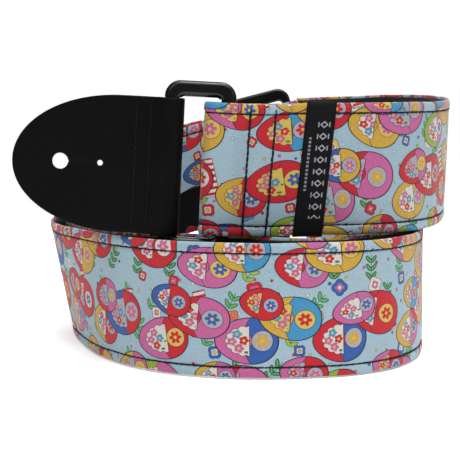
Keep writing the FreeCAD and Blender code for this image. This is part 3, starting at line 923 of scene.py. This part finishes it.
def ribbon_material():
    """Black satin ribbon with a plain woven ornament of bars and lozenges."""
    material, tree, shader = new_material("label_ribbon", 0.5, 0.06)
    u, v = uv_fields(tree)
    ribs = (v * (FULL_TURN / 0.34)).sin() * 0.5 + 0.5
    yarn = (u * (FULL_TURN / 0.27)).sin() * 0.5 + 0.5
    fluff = noise(tree, 2.0, 2.0)
    ground = (ribs * 0.5 + fluff * 0.5).clamp()
    base = mix(tree, ground, (0.003, 0.003, 0.0036), (0.009, 0.009, 0.011))
    x = u - 1.7
    tall = 4.4
    y = (v / tall).fract() * tall - tall / 2
    diagonal = x.abs() * 0.9 + y.abs()
    lozenge, hollow = diagonal - 1.35, diagonal - 0.8
    mark = lozenge.inside(0.2) * (1 - hollow.inside(0.2))
    dash = ((x.abs() - 2.0).abs() - 0.2).high(y.abs() - 0.9).inside(0.2)
    mark = (mark + dash).clamp() * ((v - 25.0).abs() - 18.5).inside(0.2)
    small = ((v / 1.5).fract() - 0.5).abs() - 0.28
    small = small.high((u + 2.9).abs() - 0.45).high((v - 27.0).abs() - 10.0).inside(0.15)
    mark = (mark + small * 0.7).clamp()
    base = mix(tree, mark * (ribs * 0.35 + 0.55), base, (0.46, 0.46, 0.48))
    tree.links.new(base, shader.inputs["Base Color"])
    add_bump(tree, shader, ribs * 0.6 + yarn * 0.2 + mark * 0.6, 0.08)
    return material


# ---------------------------------------------------------------- pieces

cotton = cotton_print()
webbing_black = woven_black()
seam_thread = thread_material("thread", (0.004, 0.004, 0.009), (0.014, 0.015, 0.030))
leather_thread = thread_material("leather_thread", (0.002, 0.002, 0.0022), (0.007, 0.007, 0.0075))
leather_black = leather_material()
plastic = plastic_material()
ribbon_black = ribbon_material()

SEAM_PITCH = 2.7
THREAD = 0.28
FACE_OUT = FACE - 0.42
BACK_OUT = WEBBING_BACK + 0.10
BODY = "strap"


def finish_piece(obj, body, nodes=()):
    if body is not None:
        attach(obj, body)
    if nodes:
        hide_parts(*nodes)
    return obj


def strip(prefix, band, nodes, seed, bend=None):
    """Cover, webbing and edge seams of one stretch of the strap."""
    face = cover(prefix + "_cover_cloth", band, cotton, seed)
    back = webbing(prefix + "_webbing_band", band, webbing_black)
    spots = []
    for k, across in enumerate((SEAM_INSET, WIDTH - SEAM_INSET)):
        spots += seam_spots(band, across, FACE_OUT + 0.12, SEAM_PITCH, seed * 10 + k)
        spots += seam_spots(band, across, BACK_OUT, SEAM_PITCH, seed * 10 + k + 5, side=-1.0)
    seams = thread_meshes(prefix + "_seams", spots, seam_thread, THREAD)
    covers = [n + "_cover" for n in nodes] + [n + "_padding" for n in nodes]
    for obj, slot, names in (
        (face, "printed_cotton", covers),
        (back, "webbing", [n + "_webbing" for n in nodes]),
        (seams, "thread", [n + "_edge_seams" for n in nodes]),
    ):
        if bend:
            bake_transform(obj)
        finish_piece(obj, None if bend else BODY, names)
    length = (band.s[-1] - band.s[0]) * MM


def lean_fold(band):
    """Leans the sewn fold at ring 1 with the ring, easing off along the strap."""
    pivot = np.array([RING_1_BAR[0], UPPER_LEVEL + WIDTH / 2])
    near = (band.s < 120) * (1 - smooth_step(band.origin[:, 0], 2, 30))
    for i in np.nonzero(near > 0)[0]:
        t = FOLD_LEAN * near[i]
        c, s = math.cos(t), math.sin(t)
        for v, base in ((band.origin, pivot), (band.up, (0, 0)), (band.right, (0, 0))):
            x, z = v[i, 0] - base[0], v[i, 2] - base[1]
            v[i, 0], v[i, 2] = base[0] + x * c + z * s, base[1] - x * s + z * c


def front_station(band, x):
    """Arc length at which the front run of the upper turn passes a given x."""
    fold = np.argmin(band.origin[:60, 0])
    stop = np.argmax(band.origin[:, 0])
    return np.interp(x, band.origin[fold:stop, 0], band.s[fold:stop])


def fold_row(name, band, low_x, high_x, node, seed):
    """A heavy row of sewing across the strap, through all layers of the fold."""
    local = np.random.default_rng(seed)
    spots = []
    pitch = 2.3
    count = int((WIDTH - 0.8) / pitch)
    for k in range(count):
        low = 0.45 + k * pitch
        ends = []
        for across in (low - 0.2, low + pitch + 0.2):
            x = low_x + (high_x - low_x) * across / WIDTH + local.normal(0, 0.07)
            s = front_station(band, x)
            edge = min(across, WIDTH - across)
            out = FACE - 0.05 - 0.25 * math.exp(-((edge - 0.8) / 1.0) ** 2)
            ends.append(spot_on(band, s, across, out))
        spots.append((ends[0][0], ends[1][0], ends[0][1]))
    obj = thread_meshes(name, spots, seam_thread, 0.48)
    return finish_piece(obj, BODY, [node])


def label_band(band):
    """The ribbon label lies slanted across the strap and turns over both edges."""
    low_x, high_x, wide = 29.1, 34.4, 11.0
    rim_heights = np.array([-0.45, -0.35, 0.0, 0.5, 1.2])
    heights = np.r_[rim_heights, np.linspace(2.5, WIDTH - 2.5, 40), WIDTH - rim_heights[::-1]]
    columns = np.linspace(-wide / 2, wide / 2, 9)
    fine = []
    uv = []
    for layer, offset in ((0, 0.36), (1, 0.0)):
        for h in heights:
            edge = min(h, WIDTH - h)
            drop = 0.75 * max(0.0, 1 - (edge + 0.45) / 1.6) ** 2
            seam = 0.10 * math.exp(-((edge - SEAM_INSET) / 0.8) ** 2)
            for x in columns:
                at = low_x + (high_x - low_x) * h / WIDTH + x
                s = front_station(band, at)
                rim = 0.12 * (abs(x) / (wide / 2)) ** 6
                point, _ = spot_on(band, s, h, FACE + 0.10 + offset - drop - seam - rim * (1 - layer))
                fine.append(point)
                uv.append((x, h))
    rows, cols = len(heights), len(columns)
    size = rows * cols
    faces = []
    for r in range(rows - 1):
        for c in range(cols - 1):
            a = r * cols + c
            faces.append((a, a + 1, a + cols + 1, a + cols))
            faces.append((size + a, size + a + cols, size + a + cols + 1, size + a + 1))
    border = list(range(cols)) + [r * cols + cols - 1 for r in range(1, rows)]
    border += [(rows - 1) * cols + c for c in range(cols - 2, -1, -1)]
    border += [r * cols for r in range(rows - 2, 0, -1)]
    for a, b in zip(border, border[1:] + border[:1]):
        faces.append((b, a, size + a, size + b))
    return new_object("label_ribbon_piece", fine, faces, uv, ribbon_black)


LEATHER_ROWS = (7.7, 13.0)
LEATHER_HALF = 25.8
SLIT_FROM, SLIT_TO = -41, -26.5


def local_frame(origin, up):
    """Origin, direction along the leather and direction across it."""
    up = Vector(up).normalized()
    return Vector(origin), Vector((up.z, 0, -up.x)), up


def leather_piece(number, origin, up):
    """The leather end, softened: rounded cut edges and a slight unevenness."""
    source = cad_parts[f"leather_end_{number}"]
    obj = bpy.data.objects.new(f"leather_end_{number}_hide", source.data.copy())
    bpy.context.scene.collection.objects.link(obj)
    remesh = obj.modifiers.new("remesh", "REMESH")
    remesh.mode = "VOXEL"
    remesh.voxel_size = 0.34 * MM
    soften = obj.modifiers.new("soften", "SMOOTH")
    soften.factor = 0.5
    soften.iterations = 4
    graph = bpy.context.evaluated_depsgraph_get()
    mesh = bpy.data.meshes.new_from_object(obj.evaluated_get(graph))
    obj.modifiers.clear()
    obj.data = mesh
    base, along, tall = local_frame(origin, up)
    count = len(mesh.vertices)
    co = np.empty(count * 3)
    mesh.vertices.foreach_get("co", co)
    co = co.reshape(-1, 3)
    x = (co - np.array(base) * MM) @ np.array(along) / MM
    z = (co - np.array(base) * MM) @ np.array(tall) / MM
    y = (co[:, 1] - base[1] * MM) / MM
    front = np.where(y < 0, -1.0, 1.0)
    wave = 0.12 * np.sin(x / 9.0 + z / 14.0) + 0.10 * np.sin(z / 8.0 - x / 17.0 + 1.0)
    press = 0.0
    for row in LEATHER_ROWS:
        inside = np.clip((LEATHER_HALF - 2.5 - np.abs(z)) / 1.0, 0, 1)
        press = press + 0.22 * np.exp(-((x + row) / 0.8) ** 2) * inside
    slit = np.exp(-((z / 0.4) ** 2)) * ((x > SLIT_FROM) & (x < SLIT_TO))
    co[:, 1] += (wave - front * (press + 0.35 * slit)) * MM
    if number == 1:
        co[:, 0] -= 0.8 * MM * smooth_step(x, -14, -2)
    mesh.vertices.foreach_set("co", co.ravel())
    mesh.polygons.foreach_set("use_smooth", [True] * len(mesh.polygons))
    mesh.materials.clear()
    mesh.materials.append(leather_black)
    mesh.update()
    return finish_piece(obj, f"leather_end_{number}", [f"leather_end_{number}"])


def leather_stitches(number, hide, origin, up):
    """Both rows of sewing that close the leather round the ring, front and back."""
    base, along, tall = local_frame(origin, up)
    hide_mesh = bmesh.new()
    hide_mesh.from_mesh(hide.data)
    tree = BVHTree.FromBMesh(hide_mesh)
    hide_mesh.free()
    pitch = 2.5
    for row, part in zip(LEATHER_ROWS, ("inner", "outer")):
        spots = []
        count = int((2 * LEATHER_HALF - 5.0) / pitch)
        for k in range(count):
            low = -count * pitch / 2 + k * pitch
            for side in (-1, 1):
                ends = []
                for z in (low + 0.15, low + pitch - 0.15):
                    start = (base + along * (-row) + tall * z + Vector((0, side * 20, 0))) * MM
                    hit, _, _, _ = tree.ray_cast(start, Vector((0, -side, 0)))
                    if hit is not None:
                        ends.append(np.array(hit) / MM + np.array([0, side * 0.08, 0]))
                if len(ends) == 2:
                    spots.append((ends[0] + MIDDLE, ends[1] + MIDDLE, np.array([0.0, side, 0])))
        obj = thread_meshes(f"leather_end_{number}_{part}_sewing", spots, leather_thread, 0.29)
        replaced = [f"leather_end_{number}_{part}_stitches"]
        finish_piece(obj, f"leather_end_{number}", replaced)


def flap_row(name, band, at_x, seed):
    """A row of sewing across the end flap behind the slider."""
    local = np.random.default_rng(seed)
    turn = tilt_matrix(SLIDER_SLOPE)
    spots = []
    pitch = 2.4
    for k in range(int((WIDTH - 4) / pitch)):
        ends = []
        for across in (2.2 + k * pitch, 2.2 + (k + 1) * pitch - 0.2):
            x = at_x + local.normal(0, 0.06)
            place = np.array([x, FLAP_LINE + FACE - 0.05, across - WIDTH / 2])
            ends.append(SLIDER_AT + turn @ place)
        spots.append((ends[0], ends[1], turn @ np.array([0.0, 1.0, 0])))
    obj = thread_meshes(name, spots, seam_thread, 0.34)
    return finish_piece(obj, BODY)


upper, weave, outer, back, end = make_bands()
lean_fold(upper)
weave_right, weave_left = split(weave, len(weave.s) // 2)


def by_slider(x):
    turn = tilt_matrix(SLIDER_SLOPE)
    return tuple((SLIDER_AT + turn @ np.array([x, 0, 0]) - MIDDLE) * MM)


# Points on either side of the slider's centre bar, passed to strip as bend; strip only tests that bend
# is given, and then leaves the piece unattached to the strap body.
bend_right = (by_slider(16), by_slider(6))
bend_left = (by_slider(-16), by_slider(-6))
strip("upper_turn", upper, ["upper_turn"], 1)
strip("slider_weave_right", weave_right, ["slider_weave"], 2, bend=bend_right)
strip("slider_weave_left", weave_left, ["slider_weave"], 3, bend=bend_left)
strip("outer_layer", outer, ["ramp_outer", "lower_outer", "ring_2_loop"], 4)
strip("return_layer", back, ["lower_return", "ramp_return"], 5)
strip("slider_end_loop", end, ["slider_end_loop"], 6, bend=bend_left)

fold_row("fold_inner_row", upper, 5.44, 6.76, "fold_inner_stitches", 21)
fold_row("fold_outer_row", upper, 14.08, 16.9, "fold_outer_stitches", 22)
flap_row("end_flap_row_a", end, -19.0, 23)
flap_row("end_flap_row_b", end, -23.5, 24)
finish_piece(label_band(upper), BODY, ["label"])

LEATHER_AT = (
    ((-27.731, -73.34, 76.599), (0.05234, 0, 0.99863)),
    ((18.179, 70.66, 34.082), (0.06105, 0, 0.99813)),
)
for number, (origin, up) in enumerate(LEATHER_AT, 1):
    hide = leather_piece(number, origin, up)
    leather_stitches(number, hide, origin, up)

for name in ("ring_1", "ring_2", "slider"):
    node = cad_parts[name]
    for held in node.material_slots:
        held.material = plastic
    for polygon in node.data.polygons:
        polygon.use_smooth = True

# ---------------------------------------------------------------- stage, light and camera

FLOOR_SIZE, FLOOR_LEVEL = 1.1, -0.0005
bpy.ops.mesh.primitive_plane_add(size=FLOOR_SIZE, location=(0, 0, FLOOR_LEVEL))
floor = bpy.context.object
floor.name = "floor"
paper, _, paper_shader = new_material("floor_paper", 0.9, 0.1)
paper_shader.inputs["Base Color"].default_value = (0.96, 0.96, 0.96, 1)
paper_shader.inputs["Emission Color"].default_value = (1, 1, 1, 1)
paper_shader.inputs["Emission Strength"].default_value = 0.3
floor.data.materials.append(paper)

# A white background for the camera, and a dim dome for everything else.
world = bpy.data.worlds.new("studio")
world.use_nodes = True
nodes, links = world.node_tree.nodes, world.node_tree.links
dome = nodes["Background"]
dome.inputs["Color"].default_value = (1, 1, 1, 1)
dome.inputs["Strength"].default_value = 0.18
paper_white = nodes.new("ShaderNodeBackground")
paper_white.inputs["Strength"].default_value = 1.0
paper_white.inputs["Color"].default_value = (1, 1, 1, 1)
seen = nodes.new("ShaderNodeLightPath")
either = nodes.new("ShaderNodeMixShader")
links.new(seen.outputs["Is Camera Ray"], either.inputs[0])
links.new(dome.outputs[0], either.inputs[1])
links.new(paper_white.outputs[0], either.inputs[2])
links.new(either.outputs[0], nodes["World Output"].inputs[0])
bpy.context.scene.world = world
bpy.context.scene.view_settings.view_transform = "Standard"


def area_light(name, place, target, size, power):
    data = bpy.data.lights.new(name, "AREA")
    data.shape = "RECTANGLE"
    data.size, data.size_y = size
    data.energy = power
    obj = bpy.data.objects.new(name, data)
    bpy.context.scene.collection.objects.link(obj)
    obj.location = place
    obj.rotation_euler = (Vector(target) - Vector(place)).to_track_quat("-Z", "Y").to_euler()
    return obj


sun_data = bpy.data.lights.new("skylight", "SUN")
sun_data.energy = 2.5
sun_data.angle = 1.3
sun = bpy.data.objects.new("skylight", sun_data)
bpy.context.scene.collection.objects.link(sun)
sun.rotation_euler = (math.radians(14), math.radians(8), 0)
area_light("top", (0.1, -0.1, 0.7), (0, 0, 0.05), (0.5, 0.1), 2.2)
area_light("backdrop", (0, 0.95, 0.3), (0, 0.1, 0.08), (1.2, 0.5), 6.0)
area_light("key", (-0.45, -0.85, 0.55), (0, 0, 0.05), (0.35, 0.35), 1.25)
area_light("fill", (0.75, -0.6, 0.4), (0, 0, 0.05), (0.45, 0.45), 0.65)

camera_data = bpy.data.cameras.new("camera")
camera_data.lens = 117.9
camera_data.sensor_width = 36.0
camera_data.clip_start, camera_data.clip_end = 0.01, 20
camera = bpy.data.objects.new("camera", camera_data)
bpy.context.scene.collection.objects.link(camera)
camera.location = (-0.00486, -0.64034, 0.111)
camera.rotation_euler = (math.radians(84.1), 0, 0)
bpy.context.scene.camera = camera
